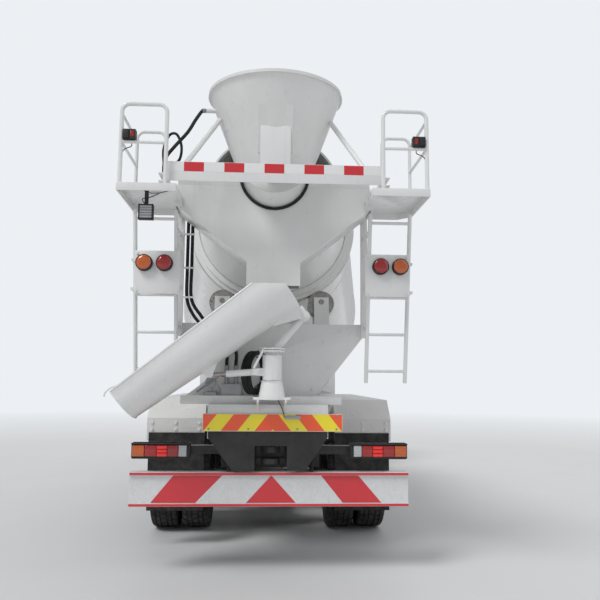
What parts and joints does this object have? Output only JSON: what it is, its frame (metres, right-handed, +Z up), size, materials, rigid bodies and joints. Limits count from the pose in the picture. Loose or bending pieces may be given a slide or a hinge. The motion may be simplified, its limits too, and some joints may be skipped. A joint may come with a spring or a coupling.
{
  "type": "concrete mixer truck",
  "caption": "Three-axle cab-over truck with a tilted mixing drum, feed hopper, discharge funnel, swinging chute, rear platforms and ladders.",
  "frame": {"origin": "on the ground under the middle of the bounding box", "axes": "+Y the way the truck drives, +X its right side, +Z up"},
  "size_m": [2.9, 9.4998, 3.95],
  "materials": {
    "paint_white": "gloss white paint",
    "chassis_black": "satin black paint",
    "cast_grey": "grey painted casting",
    "steel": "worn steel",
    "aluminium": "brushed aluminium",
    "tyre": "tyre rubber",
    "rubber": "black rubber",
    "lamp": "lamp plastic",
    "glass": "tinted glass",
    "trim": "black plastic",
    "fabric": "woven seat cover",
    "bumper_white": "white paint with red stripes",
    "board": "orange and yellow reflective board"
  },
  "bodies": {
    "chassis": {"frame_rails": "chassis_black", "sub_frame": "paint_white", "front_stand": "paint_white", "drum_gearbox": "cast_grey", "rear_stand": "paint_white", "discharge_funnel": "paint_white", "feed_hopper": "paint_white", "platforms": "paint_white", "guard_rails": "paint_white", "rear_boards": "board", "rear_bumper": "bumper_white", "lamps": "lamp", "mudguards": "paint_white", "mud_flaps": "rubber", "water_tank": "paint_white", "fuel_tank": "aluminium", "air_tanks": "chassis_black", "engine": "cast_grey", "front_axle": "chassis_black", "drive_axles": "chassis_black", "exhaust": "steel", "front_bumper": "trim", "side_guards": "chassis_black", "hoses": "rubber", "hose_coil": "rubber", "valve_bank": "steel"},
    "cab": {"cab_body": "paint_white", "cab_glass": "glass", "seats": "fabric", "dashboard": "trim", "mirrors": "trim"},
    "door_left": {"door_left": "paint_white", "door_glass_left": "glass"},
    "door_right": {"door_right": "paint_white", "door_glass_right": "glass"},
    "knuckle_left": {"knuckle_left": "chassis_black"},
    "knuckle_right": {"knuckle_right": "chassis_black"},
    "tie_rod": {"tie_rod": "chassis_black"},
    "drum": {"drum": "paint_white"},
    "roller_left": {"roller_left": "steel"},
    "roller_right": {"roller_right": "steel"},
    "chute_post": {"chute_post": "paint_white"},
    "chute": {"chute": "paint_white"},
    "jack_barrel": {"jack_barrel": "chassis_black"},
    "jack_rod": {"jack_rod": "steel"},
    "wheel_front_left": {"tyre_front_left": "tyre", "rim_front_left": "chassis_black"},
    "wheel_front_right": {"tyre_front_right": "tyre", "rim_front_right": "chassis_black"},
    "wheels_mid_left": {"tyres_mid_left": "tyre", "rims_mid_left": "chassis_black"},
    "wheels_mid_right": {"tyres_mid_right": "tyre", "rims_mid_right": "chassis_black"},
    "wheels_last_left": {"tyres_last_left": "tyre", "rims_last_left": "chassis_black"},
    "wheels_last_right": {"tyres_last_right": "tyre", "rims_last_right": "chassis_black"}
  },
  "joints": [
    {"name": "cab_tilt", "type": "hinge", "parent": "chassis", "child": "cab", "pos_m": [0, 4.56, 1.05], "axis": [-1, 0, 0], "range_deg": [0, 45]},
    {"name": "door_left_hinge", "type": "hinge", "parent": "cab", "child": "door_left", "pos_m": [-1.222, 4.223, 2], "axis": [0, 0, -1], "range_deg": [0, 70]},
    {"name": "door_right_hinge", "type": "hinge", "parent": "cab", "child": "door_right", "pos_m": [1.222, 4.223, 2], "axis": [0, 0, 1], "range_deg": [0, 70]},
    {"name": "steer_left", "type": "hinge", "parent": "chassis", "child": "knuckle_left", "pos_m": [-0.82, 3.25, 0.535], "axis": [0, 0, 1], "range_deg": [-35, 35]},
    {"name": "steer_right", "type": "hinge", "parent": "chassis", "child": "knuckle_right", "pos_m": [0.82, 3.25, 0.535], "axis": [0, 0, 1], "range_deg": [-35, 35]},
    {"name": "tie_rod_pivot", "type": "hinge", "parent": "knuckle_left", "child": "tie_rod", "pos_m": [-0.82, 3.1, 0.415], "axis": [0, 0, 1], "range_deg": [-35, 35]},
    {"name": "wheel_front_left_spin", "type": "hinge", "parent": "knuckle_left", "child": "wheel_front_left", "pos_m": [-1.005, 3.25, 0.535], "axis": [1, 0, 0], "continuous": true},
    {"name": "wheels_mid_left_spin", "type": "hinge", "parent": "chassis", "child": "wheels_mid_left", "pos_m": [-0.93, -0.6, 0.535], "axis": [1, 0, 0], "continuous": true},
    {"name": "wheels_last_left_spin", "type": "hinge", "parent": "chassis", "child": "wheels_last_left", "pos_m": [-0.93, -1.95, 0.535], "axis": [1, 0, 0], "continuous": true},
    {"name": "wheel_front_right_spin", "type": "hinge", "parent": "knuckle_right", "child": "wheel_front_right", "pos_m": [1.005, 3.25, 0.535], "axis": [1, 0, 0], "continuous": true},
    {"name": "wheels_mid_right_spin", "type": "hinge", "parent": "chassis", "child": "wheels_mid_right", "pos_m": [0.93, -0.6, 0.535], "axis": [1, 0, 0], "continuous": true},
    {"name": "wheels_last_right_spin", "type": "hinge", "parent": "chassis", "child": "wheels_last_right", "pos_m": [0.93, -1.95, 0.535], "axis": [1, 0, 0], "continuous": true},
    {"name": "drum_spin", "type": "hinge", "parent": "chassis", "child": "drum", "pos_m": [0, 1.79585, 2.00474], "axis": [0, -0.9751, 0.2215], "continuous": true},
    {"name": "roller_left_spin", "type": "hinge", "parent": "chassis", "child": "roller_left", "pos_m": [-0.46775, -3.22038, 2.31359], "axis": [0, -0.9751, 0.2215], "continuous": true},
    {"name": "roller_right_spin", "type": "hinge", "parent": "chassis", "child": "roller_right", "pos_m": [0.46775, -3.22038, 2.31359], "axis": [0, -0.9751, 0.2215], "continuous": true},
    {"name": "chute_swing", "type": "hinge", "parent": "chassis", "child": "chute_post", "pos_m": [0, -4.15, 1.6], "axis": [0, 0, 1], "range_deg": [0, 180]},
    {"name": "chute_tilt", "type": "hinge", "parent": "chute_post", "child": "chute", "pos_m": [0.255, -4.15, 2.112], "axis": [0, -1, 0], "range_deg": [0, 10]},
    {"name": "jack_swing", "type": "hinge", "parent": "chute_post", "child": "jack_barrel", "pos_m": [-0.13, -4.15, 1.66], "axis": [0, -1, 0], "range_deg": [0, 24.6]},
    {"name": "jack_slide", "type": "slide", "parent": "jack_barrel", "child": "jack_rod", "axis": [-0.9977, 0, -0.0674], "range_m": [-0.058, 0]}
  ],
  "couplings": [
    {"joint": "steer_right", "follows": "steer_left", "ratio": 1},
    {"joint": "tie_rod_pivot", "follows": "steer_left", "ratio": -1},
    {"joint": "roller_left_spin", "follows": "drum_spin", "ratio": -6.48},
    {"joint": "roller_right_spin", "follows": "drum_spin", "ratio": -6.48},
    {"joint": "jack_swing", "follows": "chute_tilt", "ratio": 2.45},
    {"joint": "jack_slide", "follows": "chute_tilt", "m_per_rad": -0.32959}
  ]
}
